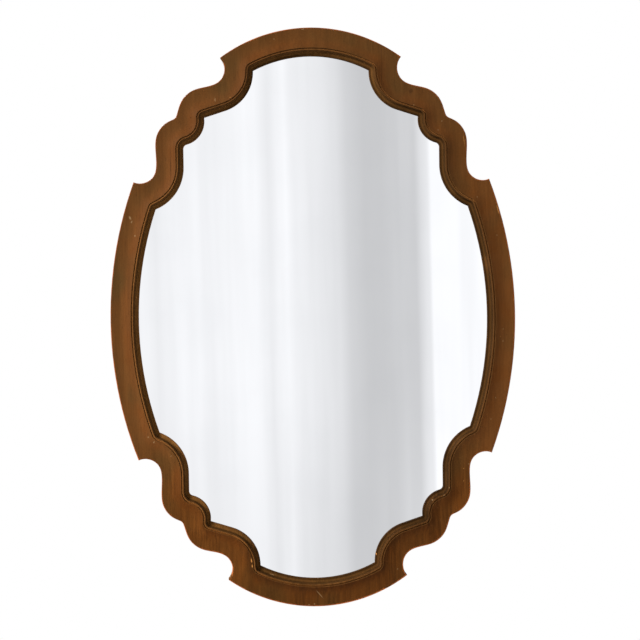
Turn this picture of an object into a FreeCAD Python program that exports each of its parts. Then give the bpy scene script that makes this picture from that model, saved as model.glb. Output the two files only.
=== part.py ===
import FreeCAD, Part
import Sketcher

import math
import os

Vector = FreeCAD.Vector
Rotation = FreeCAD.Rotation
Placement = FreeCAD.Placement

# A wall mirror: a scalloped hardwood frame around an oval glass, with its backing and hangers.
# Millimetres. The front faces -Y and the wall is the plane y = 0. The origin lies on the wall,
# midway between the two hooks that the hanger rings rest on. Every piece is modelled about the
# middle of the mirror, and its placement then lowers it by the hang height.

sizes = {
    "frame_height": 1016.0,
    "frame_width": 711.2,
    "frame_thickness": 24.0,
    "band_side": 48.6,
    "band_end": 49.0,
    "pocket_radius": 8.1,
    "edge_round": 1.2,
    # How far each glue joint stands inside the corner of the crown or of the side
    "crown_joint_inset": 34.9,
    "side_joint_inset": 64.5,
    # Moulding, from the sight edge outwards
    "lip_thickness": 4.0,
    "lip_chamfer": 0.8,
    "lip_flat": 1.2,
    "cove_radius": 6.5,
    "bead_radius": 1.7,
    "quirk_width": 1.0,
    "rim_round": 0.8,
    "scoop_radius": 76.0,
    "scoop_slope_degrees": 20.0,
    # Rabbet and what lies in it
    "rabbet_lap_side": 9.0,
    "rabbet_lap_end": 10.0,
    "rabbet_depth": 11.0,
    "glass_thickness": 4.0,
    "glass_clearance": 2.0,
    "glass_arris": 0.5,
    "backing_thickness": 3.2,
    "backing_inset": 0.5,
    "block_length": 50.0,
    "block_width": 3.6,
    "block_play": 0.1,
    "block_distance": 90.0,
    "shim_length": 40.0,
    # Dowels in the glue joints
    "dowel_diameter": 6.0,
    "dowel_length": 24.0,
    "dowel_spacing": 16.0,
    "dowel_height": 9.0,
    "dowel_play": 0.05,
    "dowel_end_play": 0.5,
    # Retaining clips
    "clip_width": 12.0,
    "clip_thickness": 1.2,
    "clip_foot": 16.0,
    "clip_toe": 10.0,
    "clip_wall_gap": 0.5,
    "clip_hole_place": 9.0,
    "clip_round": 2.0,
    # Screws
    "screw_diameter": 3.5,
    "screw_play": 0.05,
    "screw_hole_play": 0.35,
    "screw_point": 3.0,
    "head_diameter": 7.0,
    "head_height": 2.2,
    "head_round": 1.4,
    "slot_width": 1.0,
    "slot_depth": 1.1,
    "clip_screw_length": 14.0,
    "hanger_screw_length": 16.0,
    # Hangers
    "hang_height": 170.0,
    "ring_wire": 2.5,
    "ring_inner_width": 20.0,
    "ring_side": 4.0,
    "ring_corner": 3.0,
    "strap_width": 14.0,
    "strap_thickness": 1.0,
    "strap_length": 40.0,
    "strap_play": 0.1,
    "strap_edge": 0.3,
    "strap_hole_first": 13.0,
    "strap_hole_pitch": 18.0,
    # Wall bumpers
    "bumper_height": 5.0,
    "bumper_diameter": 14.0,
    "bumper_round": 1.5,
    "bumper_distance": 95.0,
    # How far a cutting tool runs past what it cuts
    "overrun": 2.0,
}

# The scallops of one quarter's outline, as shares of half the width and half the height: points
# on one smooth curve from the corner of the crown to the corner of the side.
scallop_shares = [
    (0.444, 0.899), (0.4258, 0.8726), (0.4283, 0.8434), (0.451, 0.8187), (0.488, 0.805),
    (0.549, 0.795), (0.5832, 0.7866), (0.6129, 0.7721), (0.6357, 0.7523), (0.65, 0.729),
    (0.661, 0.704), (0.6641, 0.6986), (0.669, 0.694), (0.6755, 0.6904), (0.683, 0.688),
    (0.7174, 0.6752), (0.7445, 0.6555), (0.7616, 0.631), (0.767, 0.604),
    (0.765, 0.529), (0.7741, 0.5023), (0.8003, 0.4819), (0.8373, 0.4727), (0.876, 0.477),
]

# The sight edge of one quarter, as shares of half the sight width and half the sight height. Each
# lobe is a round stretch through its start, its middle and its end, and straight lines join them.
sight_crown_shares = (0.330, 0.946)
sight_side_shares = (0.894, 0.425)
upper_lobe_shares = (sight_crown_shares, (0.374, 0.852), (0.495, 0.795))
pocket_corner_shares = (0.611, 0.770)
middle_lobe_shares = (pocket_corner_shares, (0.637, 0.703), (0.7315, 0.667))
lower_lobe_ends_shares = ((0.7315, 0.584), sight_side_shares)

clip_count = 8
full_turn = 360.0
smallest_fan_degrees = 0.05
finest_tolerance = 0.00001
coarsest_tolerance = 0.001

document = FreeCAD.newDocument("WallMirror")
sheet = document.addObject("Spreadsheet::Sheet", "Sizes")


def fill_sheet():
    for row, (name, value) in enumerate(sizes.items(), start=1):
        sheet.set("A%d" % row, name)
        sheet.set("B%d" % row, str(value))
        sheet.setAlias("B%d" % row, name)
    document.recompute()


def size(name):
    return float(sheet.get(name))


def bind(thing, expressions):
    for target, expression in expressions.items():
        thing.setExpression(target, expression)
    return thing


# Sizes that follow from the sheet

def half_width():
    return size("frame_width") / 2


def half_height():
    return size("frame_height") / 2


def sight_half_width():
    return half_width() - size("band_side")


def sight_half_height():
    return half_height() - size("band_end")


def rabbet_half_width():
    return sight_half_width() + size("rabbet_lap_side")


def rabbet_half_height():
    return sight_half_height() + size("rabbet_lap_end")


def depth(height_above_back):
    # The y of a point this high above the back of the frame.
    return -size("bumper_height") - height_above_back


def first_joint():
    return scallop_shares[0][0] * half_width() - size("crown_joint_inset")


def second_joint():
    return scallop_shares[-1][0] * half_width() - size("side_joint_inset")


# Plane geometry: points are (x, z) in the plane of the mirror

def at(point, height_above_back=0.0):
    return Vector(point[0], depth(height_above_back), point[1])


def scaled(share, width, height):
    return (share[0] * width, share[1] * height)


def bow(start, crown_on_z):
    # A bow that crosses an axis squarely: its radius, its centre and the middle of its half.
    along, across = (start[0], start[1]) if crown_on_z[0] == 0 else (start[1], start[0])
    crown = crown_on_z[1] if crown_on_z[0] == 0 else crown_on_z[0]
    rise = crown - across
    radius = (along ** 2 + rise ** 2) / (2 * rise)
    half_angle = math.asin(along / radius) / 2
    middle_along = radius * math.sin(half_angle)
    middle_across = crown - radius + radius * math.cos(half_angle)
    if crown_on_z[0] == 0:
        return (middle_along, middle_across)
    return (middle_across, middle_along)


def arc_centre(start, middle, end):
    circle = Part.Arc(at(start), at(middle), at(end)).toShape().Curve
    return (circle.Center.x, circle.Center.z), circle.Radius


def chain_of(rows, crown, side):
    # Rows of (start, middle, end), from the crown of the quarter to its side, joined by lines.
    first_corner = rows[0][0]
    last_corner = rows[-1][-1]
    chain = [(crown, bow(first_corner, crown), first_corner)]
    for row in rows:
        if math.dist(chain[-1][-1], row[0]) > 0:
            chain.append((chain[-1][-1], row[0]))
        chain.append(row)
    chain.append((last_corner, bow(last_corner, side), side))
    return chain


def rounded_pocket(middle_lobe, line_x):
    # The round in the pocket under the middle lobe, tangent to the lobe and to an upright line.
    lobe_centre, lobe_radius = arc_centre(*middle_lobe)
    radius = size("pocket_radius")
    centre_x = line_x - radius
    reach = lobe_radius + radius
    centre_z = lobe_centre[1] - math.sqrt(reach ** 2 - (centre_x - lobe_centre[0]) ** 2)
    toward_lobe = math.atan2(lobe_centre[1] - centre_z, lobe_centre[0] - centre_x)
    start = (centre_x + radius * math.cos(toward_lobe), centre_z + radius * math.sin(toward_lobe))
    middle_angle = toward_lobe / 2
    middle = (centre_x + radius * math.cos(middle_angle), centre_z + radius * math.sin(middle_angle))
    return (start, middle, (line_x, centre_z))


def arc_middle(start, end, centre, radius):
    chord_middle = ((start[0] + end[0]) / 2, (start[1] + end[1]) / 2)
    away = math.dist(chord_middle, centre)
    share = radius / away
    return tuple(centre[axis] + (chord_middle[axis] - centre[axis]) * share for axis in (0, 1))


def lobe_to_line(lobe, line_end):
    # A lobe's circle from its start to the point near its end where a line leaves it for line_end.
    centre, radius = arc_centre(*lobe)
    away = away_from(centre, line_end)
    to_touch = math.atan2(away[1], away[0]) - math.acos(radius / math.dist(centre, line_end))
    end = (centre[0] + radius * math.cos(to_touch), centre[1] + radius * math.sin(to_touch))
    return (lobe[0], arc_middle(lobe[0], end, centre, radius), end)


def lobe_from_upright(start, end):
    # An arc that leaves an upright line at its start and runs outwards to its end.
    across = end[0] - start[0]
    drop = end[1] - start[1]
    radius = (across ** 2 + drop ** 2) / (2 * across)
    return (start, arc_middle(start, end, (start[0] + radius, start[1]), radius), end)


def sight_chain():
    width = sight_half_width()
    height = sight_half_height()
    upper = tuple(scaled(share, width, height) for share in upper_lobe_shares)
    middle = tuple(scaled(share, width, height) for share in middle_lobe_shares)
    lower = lobe_from_upright(*[scaled(share, width, height) for share in lower_lobe_ends_shares])
    upper = lobe_to_line(upper, middle[0])
    pocket = rounded_pocket(middle, lower[0][0])
    lobe_centre, lobe_radius = arc_centre(*middle)
    lobe_middle = arc_middle(middle[0], pocket[0], lobe_centre, lobe_radius)
    middle = (middle[0], lobe_middle, pocket[0])
    return chain_of([upper, middle, pocket, lower], (0, height), (width, 0))


def edge_through(points):
    # Points are (x, z, height above the back). Two make a line and three an arc.
    vectors = [Vector(x, depth(height), z) for x, z, height in points]
    if len(vectors) == 2:
        return Part.LineSegment(*vectors).toShape()
    return Part.Arc(*vectors).toShape()


def edge_of(stretch):
    return edge_through([(point[0], point[1], 0.0) for point in stretch])


def outline_edges():
    width = half_width()
    height = half_height()
    points = [scaled(share, width, height) for share in scallop_shares]
    scallops = Part.BSplineCurve()
    scallops.interpolate([at(point) for point in points])
    crown = (0.0, height)
    side = (width, 0.0)
    return [
        edge_of((crown, bow(points[0], crown), points[0])),
        scallops.toShape(),
        edge_of((points[-1], bow(points[-1], side), side)),
    ]


def sight_edges():
    return [edge_of(stretch) for stretch in sight_chain()]


def quarter_face(edges, crown_height, side_reach):
    middle = (0.0, 0.0)
    closing = [edge_of(((side_reach, 0.0), middle)), edge_of((middle, (0.0, crown_height)))]
    return Part.Face(Part.Wire(edges + closing))


def outline_face():
    return quarter_face(outline_edges(), half_height(), half_width())


# The moulding is the space above its profile, carried round the sight edge: turned about the
# centre of each round stretch, drawn along each straight one, and turned about each corner.

def profile_points():
    eighth = math.sqrt(0.5)
    lip_front = size("rabbet_depth") + size("lip_thickness")
    lip_chamfer = size("lip_chamfer")
    cove_start = lip_chamfer + size("lip_flat")
    cove = size("cove_radius")
    bead = size("bead_radius")
    bead_height = lip_front + cove
    bead_end = cove_start + cove + 2 * bead
    quirk_end = bead_end + size("quirk_width")
    rim = size("rim_round")
    rim_height = size("frame_thickness") - rim
    slope = math.radians(size("scoop_slope_degrees"))
    rim_end = (quirk_end + rim + rim * math.sin(slope), rim_height + rim * math.cos(slope))
    rim_middle_angle = (math.pi / 2 + slope) / 2
    rim_middle = (
        quirk_end + rim - rim * math.cos(rim_middle_angle),
        rim_height + rim * math.sin(rim_middle_angle),
    )
    return [
        ((0.0, lip_front - lip_chamfer), (lip_chamfer, lip_front)),
        ((lip_chamfer, lip_front), (cove_start, lip_front)),
        ((cove_start, lip_front),
         (cove_start + cove * eighth, lip_front + cove * (1 - eighth)),
         (cove_start + cove, bead_height)),
        ((cove_start + cove, bead_height),
         (cove_start + cove + bead, bead_height + bead),
         (bead_end, bead_height)),
        ((bead_end, bead_height), (quirk_end, bead_height)),
        ((quirk_end, bead_height), (quirk_end, rim_height)),
        ((quirk_end, rim_height), rim_middle, rim_end),
    ]


def scoop_rows(start, reach):
    # The scoop runs down to its lowest point, and a flat land goes on from there.
    radius = size("scoop_radius")
    slope = math.radians(size("scoop_slope_degrees"))
    centre = (start[0] + radius * math.sin(slope), start[1] + radius * math.cos(slope))

    def on_scoop(distance):
        across = centre[0] - distance
        return (distance, centre[1] - math.sqrt(radius ** 2 - across ** 2))

    foot = min(reach, centre[0])
    rows = [(start, on_scoop((start[0] + foot) / 2), on_scoop(foot))]
    if reach > foot:
        rows.append((on_scoop(foot), (reach, centre[1] - radius)))
    return rows


def profile_face(offset, sense, reach):
    # Stands on the plane x = 0, with the sight edge at the offset from the Y axis.
    rows = profile_points()
    rows += scoop_rows(rows[-1][-1], reach)
    top = size("frame_thickness") + size("overrun")
    rows.append((rows[-1][-1], (reach, top)))
    rows.append(((reach, top), (0.0, top)))
    rows.append(((0.0, top), rows[0][0]))
    stretches = []
    for row in rows:
        stretches.append([(0.0, offset + sense * distance, height) for distance, height in row])
    return Part.Face(Part.Wire([edge_through(stretch) for stretch in stretches]))


def heading(vector):
    # Angle of a direction in the plane of the mirror, clockwise from up.
    return math.degrees(math.atan2(vector[0], vector[1]))


def turn_between(first, second):
    turn = heading(second) - heading(first)
    return (turn + full_turn / 2) % full_turn - full_turn / 2


def away_from(centre, point):
    length = math.dist(centre, point)
    return ((point[0] - centre[0]) / length, (point[1] - centre[1]) / length)


def sector(centre, start_direction, turn, offset, sense, reach):
    axis = Vector(0, math.copysign(1, turn), 0)
    solid = profile_face(offset, sense, reach).revolve(Vector(), axis, abs(turn))
    return moved(solid, centre, heading(start_direction))


def moved(solid, place, angle):
    solid.Placement = Placement(Vector(place[0], 0, place[1]), Rotation(Vector(0, 1, 0), angle))
    return solid


def moulding_reach():
    # Past the farthest corner of the outline.
    return size("band_side") + size("band_end")


def moulding_stretch(stretch):
    # One stretch of the moulding, with the outward directions at its two ends.
    reach = moulding_reach()
    start = stretch[0]
    end = stretch[-1]
    if len(stretch) == 2:
        along = away_from(start, end)
        normal = (-along[1], along[0])
        length = math.dist(start, end)
        solid = profile_face(0.0, 1, reach).extrude(Vector(length, 0, 0))
        return moved(solid, start, heading(normal)), normal, normal
    centre, radius = arc_centre(*stretch)
    to_start = away_from(centre, start)
    to_end = away_from(centre, end)
    turn = turn_between(to_start, to_end)
    if turn > 0:
        return sector(centre, to_start, turn, radius, 1, reach), to_start, to_end
    solid = sector(centre, to_start, turn, radius, -1, min(reach, radius))
    return solid, opposite(to_start), opposite(to_end)


def opposite(direction):
    return (-direction[0], -direction[1])


def moulding_space():
    pieces = []
    last_normal = None
    for stretch in sight_chain():
        piece, first_normal, end_normal = moulding_stretch(stretch)
        if last_normal is not None:
            turn = turn_between(last_normal, first_normal)
            if turn > smallest_fan_degrees:
                pieces.append(sector(stretch[0], last_normal, turn, 0.0, 1, moulding_reach()))
        pieces.append(piece)
        last_normal = end_normal
    return pieces[0].multiFuse(pieces[1:]).removeSplitter()


def oval(half_across, half_up, lowest, highest):
    # A solid oval between two heights above the back of the frame.
    centre = at((0.0, 0.0), lowest)
    major = at((0.0, half_up), lowest)
    minor = at((half_across, 0.0), lowest)
    ellipse = Part.Ellipse(major, minor, centre).toShape()
    face = Part.Face(Part.Wire([ellipse]))
    return face.extrude(Vector(0, -(highest - lowest), 0))


def front_outer_edges(quarter):
    wall = Part.Wire(outline_edges())
    middle_depth = depth(size("frame_thickness") / 2)
    near = size("edge_round") / 10
    found = []
    for edge in quarter.Edges:
        start = edge.valueAt(edge.FirstParameter)
        middle = edge.valueAt((edge.FirstParameter + edge.LastParameter) / 2)
        end = edge.valueAt(edge.LastParameter)
        upright = math.dist((start.x, start.z), (end.x, end.z)) < near
        if upright or middle.y > middle_depth:
            continue
        on_back = Part.Vertex(middle.x, depth(0), middle.z)
        if on_back.distToShape(wall)[0] < near:
            found.append(edge)
    return found


def moulded_quarter():
    back_to_front = Vector(0, -size("frame_thickness"), 0)
    slab = outline_face().extrude(back_to_front)
    opening_face = quarter_face(sight_edges(), sight_half_height(), sight_half_width())
    opening = opening_face.extrude(back_to_front)
    rabbet = oval(rabbet_half_width(), rabbet_half_height(), 0, size("rabbet_depth"))
    quarter = slab.cut(opening).cut(rabbet).cut(moulding_space())
    rounded = quarter.makeFillet(size("edge_round"), front_outer_edges(quarter))
    rounded.fix(finest_tolerance, finest_tolerance, coarsest_tolerance)
    return rounded


# Where the bores lie

def outline_height(x):
    upright = Part.makeLine(at((x, 0.0)), at((x, size("frame_height"))))
    return outline_face().common(upright).BoundBox.ZMax


def outline_reach(z):
    across = Part.makeLine(at((0.0, z)), at((size("frame_width"), z)))
    return outline_face().common(across).BoundBox.XMax


def rabbet_height(x):
    return rabbet_half_height() * math.sqrt(1 - (x / rabbet_half_width()) ** 2)


def rabbet_reach(z):
    return rabbet_half_width() * math.sqrt(1 - (z / rabbet_half_height()) ** 2)


def dowel_places():
    # The middles of the dowels: two in each joint beside the crown, one in each lower joint.
    half_length = size("dowel_length") / 2
    places = []
    for joint, shifts in ((first_joint(), (-0.5, 0.5)), (second_joint(), (0.0,))):
        inner = rabbet_height(joint - half_length)
        outer = outline_height(joint + half_length)
        for shift in shifts:
            height = (inner + outer) / 2 + shift * size("dowel_spacing")
            for side in (1, -1):
                for end in (1, -1):
                    places.append((side * joint, end * height))
    return places


def clip_places():
    # Each clip stands on the wall of the rabbet: its place there and the direction outwards.
    width = rabbet_half_width()
    height = rabbet_half_height()
    places = []
    for number in range(clip_count):
        angle = math.radians(full_turn * number / clip_count)
        place = (width * math.sin(angle), height * math.cos(angle))
        outward = away_from((0, 0), (math.sin(angle) / width, math.cos(angle) / height))
        places.append((place, outward))
    return places


def clip_screw_places():
    reach = size("clip_hole_place")
    return [
        (place[0] + outward[0] * reach, place[1] + outward[1] * reach)
        for place, outward in clip_places()
    ]


def hanger_axis_height():
    # Height of the ring's bar above the middle of the mirror.
    return size("hang_height") - ring_inner_height()


def ring_inner_height():
    return size("ring_corner") + size("ring_side") + size("ring_inner_width") / 2


def hanger_reach():
    # Distance of each hanger from the upright middle line: midway across the back of the frame.
    strap_middle = hanger_axis_height() - size("strap_length") / 2
    return (rabbet_reach(strap_middle) + outline_reach(strap_middle)) / 2


def hanger_screw_places():
    places = []
    for side in (1, -1):
        for number in (0, 1):
            below = size("strap_hole_first") + number * size("strap_hole_pitch")
            places.append((side * hanger_reach(), hanger_axis_height() - below))
    return places


def bumper_places():
    offset = size("bumper_distance")
    height = (rabbet_height(offset) + outline_height(offset)) / 2
    return {
        "upper_left_bumper": (-offset, height),
        "upper_right_bumper": (offset, height),
        "lower_left_bumper": (-offset, -height),
        "lower_right_bumper": (offset, -height),
    }


# Frame boards

def cylinder_along_depth(place, radius, lowest, highest):
    return Part.makeCylinder(radius, highest - lowest, at(place, lowest), Vector(0, -1, 0))


def bores():
    tools = []
    dowel_radius = size("dowel_diameter") / 2 + size("dowel_play")
    half_length = size("dowel_length") / 2 + size("dowel_end_play")
    for x, z in dowel_places():
        start = at((x - half_length, z), size("dowel_height"))
        tools.append(Part.makeCylinder(dowel_radius, 2 * half_length, start, Vector(1, 0, 0)))
    screw_radius = size("screw_diameter") / 2 + size("screw_play")
    overrun = size("overrun")
    clip_reach = size("clip_screw_length") - size("clip_thickness")
    for place in clip_screw_places():
        tools.append(cylinder_along_depth(place, screw_radius, -overrun, clip_reach))
    hanger_reach_in = size("hanger_screw_length") - 2 * size("strap_thickness")
    for place in hanger_screw_places():
        tools.append(cylinder_along_depth(place, screw_radius, -overrun, hanger_reach_in))
    return tools


def slice_between(quarter, low, high):
    corner = Vector(low, depth(size("frame_thickness")) - size("overrun"), 0)
    thickness = size("frame_thickness") + 2 * size("overrun")
    zone = Part.makeBox(high - low, thickness, size("frame_height"), corner)
    return quarter.common(zone)


def mirrored(shape, direction):
    return shape.mirror(Vector(), direction)


def add_feature(name, shape):
    feature = document.addObject("Part::Feature", name)
    feature.Label = name
    feature.Shape = shape
    return lowered(feature)


def lowered(thing):
    return bind(thing, {"Placement.Base.z": "-Sizes.hang_height"})


def single(shape):
    return shape.removeSplitter().Solids[0]


def add_boards():
    across = Vector(1, 0, 0)
    upward = Vector(0, 0, 1)
    quarter = moulded_quarter()
    crown = slice_between(quarter, 0.0, first_joint())
    shoulder = single(slice_between(quarter, first_joint(), second_joint()))
    side = slice_between(quarter, second_joint(), size("frame_width"))
    top = single(crown.fuse(mirrored(crown, across)))
    right = single(side.fuse(mirrored(side, upward)))
    left_shoulder = mirrored(shoulder, across)
    boards = {
        "top_board": top,
        "bottom_board": mirrored(top, upward),
        "upper_right_shoulder_board": shoulder,
        "upper_left_shoulder_board": left_shoulder,
        "lower_right_shoulder_board": mirrored(shoulder, upward),
        "lower_left_shoulder_board": mirrored(left_shoulder, upward),
        "right_side_board": right,
        "left_side_board": mirrored(right, across),
    }
    tools = bores()
    made = []
    for name, shape in boards.items():
        touching = [tool for tool in tools if tool.BoundBox.intersect(shape.BoundBox)]
        made.append(add_feature(name, shape.cut(touching).Solids[0]))
    return made


def add_compound(name, members):
    compound = document.addObject("Part::Compound", name)
    compound.Label = name
    compound.Links = members
    return lowered(compound)


def add_dowels():
    members = []
    for number, (x, z) in enumerate(dowel_places(), start=1):
        dowel = document.addObject("Part::Cylinder", "dowel_%d" % number)
        start = at((x - size("dowel_length") / 2, z), size("dowel_height"))
        dowel.Placement = Placement(start, Rotation(Vector(0, 1, 0), 90))
        bind(dowel, {"Radius": "Sizes.dowel_diameter / 2", "Height": "Sizes.dowel_length"})
        members.append(dowel)
    return [add_compound("joint_dowels", members)]


# Glass, backing and the pieces that centre the glass

def add_body(name):
    body = document.addObject("PartDesign::Body", name)
    body.Label = name
    return body


def add_sketch(body, name, plane_role):
    sketch = body.newObject("Sketcher::SketchObject", name)
    plane = next(feature for feature in body.Origin.OriginFeatures if feature.Role == plane_role)
    sketch.AttachmentSupport = [(plane, "")]
    sketch.MapMode = "FlatFace"
    return sketch


def constrain(sketch, kind, *where, rule=None):
    number = sketch.addConstraint(Sketcher.Constraint(kind, *where))
    if rule:
        sketch.setExpression("Constraints[%d]" % number, rule)


def add_oval_plate(name, inset, thickness, lies_above_back):
    # An oval plate in the rabbet. Inset, thickness and height are written as sheet expressions.
    body = add_body(name)
    sketch = add_sketch(body, name + "_outline", "XZ_Plane")
    half_across = rabbet_half_width()
    half_up = rabbet_half_height()
    ellipse = Part.Ellipse(Vector(0, half_up, 0), Vector(half_across, 0, 0), Vector())
    sketch.addGeometry(ellipse, False)
    sketch.exposeInternalGeometry(0)
    major_axis = 1
    minor_axis = 2
    rule = "Sizes.frame_%s - 2 * Sizes.band_%s + 2 * Sizes.rabbet_lap_%s - 2 * (%s)"
    width_rule = rule % ("width", "side", "side", inset)
    height_rule = rule % ("height", "end", "end", inset)
    constrain(sketch, "Coincident", 0, 3, -1, 1)
    constrain(sketch, "Vertical", major_axis)
    constrain(sketch, "Distance", major_axis, 2 * half_up, rule=height_rule)
    constrain(sketch, "Distance", minor_axis, 2 * half_across, rule=width_rule)
    bind(sketch, {"AttachmentOffset.Base.z": "Sizes.bumper_height + " + lies_above_back})
    pad = body.newObject("PartDesign::Pad", name + "_pad")
    pad.Profile = sketch
    bind(pad, {"Length": thickness})
    document.recompute()
    return lowered(body)


def round_edges(body, feature, edges, rule, kind="PartDesign::Fillet"):
    finish = body.newObject(kind, body.Name + "_finish")
    finish.Base = (feature, edges)
    bind(finish, {"Radius" if kind == "PartDesign::Fillet" else "Size": rule})
    document.recompute()
    return finish


def add_glass():
    body = add_oval_plate(
        "mirror_glass",
        "Sizes.glass_clearance",
        "Sizes.glass_thickness",
        "Sizes.rabbet_depth - Sizes.glass_thickness",
    )
    pad = body.Tip
    rims = ["Edge%d" % number for number, edge in enumerate(pad.Shape.Edges, start=1) if edge.isClosed()]
    round_edges(body, pad, rims, "Sizes.glass_arris", "PartDesign::Chamfer")
    return body


def add_backing():
    return add_oval_plate(
        "backing_panel",
        "Sizes.glass_clearance + Sizes.backing_inset",
        "Sizes.backing_thickness",
        "Sizes.rabbet_depth - Sizes.glass_thickness - Sizes.backing_thickness",
    )


def glass_margin():
    # The space around the edge of the glass, as thick as the blocks that fill parts of it.
    play = size("block_play")
    clearance = size("glass_clearance")
    middle = size("rabbet_depth") - size("glass_thickness") / 2
    lowest = middle - size("block_width") / 2
    highest = middle + size("block_width") / 2
    outer = oval(rabbet_half_width() - play, rabbet_half_height() - play, lowest, highest)
    inner_width = rabbet_half_width() - clearance + play
    inner_height = rabbet_half_height() - clearance + play
    return outer.cut(oval(inner_width, inner_height, lowest, highest))


def window(low, high):
    # A box right through the frame between two corners of the plane of the mirror.
    overrun = size("overrun")
    corner = Vector(low[0], depth(size("frame_thickness")) - overrun, low[1])
    thickness = size("frame_thickness") + 2 * overrun
    return Part.makeBox(high[0] - low[0], thickness, high[1] - low[1], corner)


def add_glass_blocks():
    margin = glass_margin()
    half_block = size("block_length") / 2
    half_shim = size("shim_length") / 2
    blocks = []
    shims = []
    for side in (1, -1):
        middle = side * size("block_distance")
        below = window((middle - half_block, -size("frame_height")), (middle + half_block, 0.0))
        blocks.append(margin.common(below).Solids[0])
        near, far = sorted((0.0, side * size("frame_width")))
        beside = window((near, -half_shim), (far, half_shim))
        shims.append(margin.common(beside).Solids[0])
    return [
        add_feature("setting_blocks", Part.makeCompound(blocks)),
        add_feature("side_shims", Part.makeCompound(shims)),
    ]


# Retaining clips: a foot on the back of the frame, a step down the rabbet, a toe on the backing

def close_polygon(sketch, points):
    count = len(points)
    for number in range(count):
        start = Vector(*points[number], 0)
        end = Vector(*points[(number + 1) % count], 0)
        sketch.addGeometry(Part.LineSegment(start, end), False)
    for number in range(count):
        constrain(sketch, "Coincident", number, 2, (number + 1) % count, 1)
        constrain(sketch, "Horizontal" if number % 2 == 0 else "Vertical", number)
    constrain(sketch, "Coincident", 0, 1, -1, 1)


def add_clip(name, place, outward):
    body = add_body(name)
    thickness = size("clip_thickness")
    foot = size("clip_foot") + size("clip_wall_gap")
    step = size("rabbet_depth") - size("glass_thickness") - size("backing_thickness")
    toe = size("clip_toe")
    profile = add_sketch(body, name + "_profile", "XY_Plane")
    close_polygon(profile, [
        (0.0, 0.0),
        (foot, 0.0),
        (foot, thickness),
        (-thickness, thickness),
        (-thickness, thickness - step),
        (-thickness - toe, thickness - step),
        (-thickness - toe, -step),
        (0.0, -step),
    ])
    step_rule = "Sizes.rabbet_depth - Sizes.glass_thickness - Sizes.backing_thickness"
    constrain(profile, "Distance", 0, foot, rule="Sizes.clip_foot + Sizes.clip_wall_gap")
    constrain(profile, "Distance", 1, thickness, rule="Sizes.clip_thickness")
    foot_rule = "Sizes.clip_foot + Sizes.clip_wall_gap + Sizes.clip_thickness"
    constrain(profile, "Distance", 2, foot + thickness, rule=foot_rule)
    constrain(profile, "Distance", 3, step, rule=step_rule)
    constrain(profile, "Distance", 4, toe, rule="Sizes.clip_toe")
    constrain(profile, "Distance", 5, thickness, rule="Sizes.clip_thickness")
    pad = body.newObject("PartDesign::Pad", name + "_pad")
    pad.Profile = profile
    pad.SideType = "Symmetric"
    bind(pad, {"Length": "Sizes.clip_width"})
    document.recompute()
    hole = add_sketch(body, name + "_hole", "XZ_Plane")
    hole_radius = size("screw_diameter") / 2 + size("screw_hole_play")
    hole_place = size("clip_hole_place") + size("clip_wall_gap")
    hole.addGeometry(Part.Circle(Vector(hole_place, 0, 0), Vector(0, 0, 1), hole_radius), False)
    constrain(hole, "Radius", 0, hole_radius, rule="Sizes.screw_diameter / 2 + Sizes.screw_hole_play")
    constrain(hole, "PointOnObject", 0, 3, -1)
    place_rule = "Sizes.clip_hole_place + Sizes.clip_wall_gap"
    constrain(hole, "DistanceX", -1, 1, 0, 3, hole_place, rule=place_rule)
    pocket = body.newObject("PartDesign::Pocket", name + "_pocket")
    pocket.Profile = hole
    pocket.SideType = "Symmetric"
    bind(pocket, {"Length": "4 * Sizes.clip_thickness"})
    document.recompute()
    round_edges(body, pocket, corner_edges(pocket, foot, toe + thickness), "Sizes.clip_round")
    wall_gap = size("clip_wall_gap")
    base = at((place[0] - outward[0] * wall_gap, place[1] - outward[1] * wall_gap))
    turn = math.degrees(math.atan2(-outward[1], outward[0]))
    body.Placement = Placement(base, Rotation(Vector(0, 1, 0), turn))
    bind(body, {"Placement.Base.z": "%s - Sizes.hang_height" % base.z})
    return body


def corner_edges(feature, foot, toe):
    # The short upright edges at the ends of the foot and of the toe.
    near = size("clip_thickness") / 10
    names = []
    for number, edge in enumerate(feature.Shape.Edges, start=1):
        ends = [vertex.Point for vertex in edge.Vertexes]
        if len(ends) < 2 or abs(ends[0].x - ends[1].x) > near or abs(ends[0].z - ends[1].z) > near:
            continue
        if abs(ends[0].x - foot) < near or abs(ends[0].x + toe) < near:
            names.append("Edge%d" % number)
    return names


def add_clips():
    return [
        add_clip("retaining_clip_%d" % number, place, outward)
        for number, (place, outward) in enumerate(clip_places(), start=1)
    ]


# Screws: a slotted pan head over a pointed shank, with the underside of the head at the origin

def screw_shape(length):
    radius = size("screw_diameter") / 2
    head_radius = size("head_diameter") / 2
    head_height = size("head_height")
    head_round = size("head_round")
    eighth = math.sqrt(0.5)
    point = size("screw_point")
    rows = [
        [(0.0, head_height), (head_radius - head_round, head_height)],
        [
            (head_radius - head_round, head_height),
            (head_radius - head_round * (1 - eighth), head_height - head_round * (1 - eighth)),
            (head_radius, head_height - head_round),
        ],
        [(head_radius, head_height - head_round), (head_radius, 0.0)],
        [(head_radius, 0.0), (radius, 0.0)],
        [(radius, 0.0), (radius, point - length)],
        [(radius, point - length), (0.0, -length)],
        [(0.0, -length), (0.0, head_height)],
    ]
    edges = []
    for row in rows:
        vectors = [Vector(across, along, 0) for across, along in row]
        curve = Part.LineSegment(*vectors) if len(vectors) == 2 else Part.Arc(*vectors)
        edges.append(curve.toShape())
    turned_shape = Part.Face(Part.Wire(edges)).revolve(Vector(), Vector(0, 1, 0), full_turn)
    slot_width = size("slot_width")
    slot_corner = Vector(-head_radius, head_height - size("slot_depth"), -slot_width / 2)
    slot = Part.makeBox(2 * head_radius, size("head_height"), slot_width, slot_corner)
    return turned_shape.cut(slot)


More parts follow.
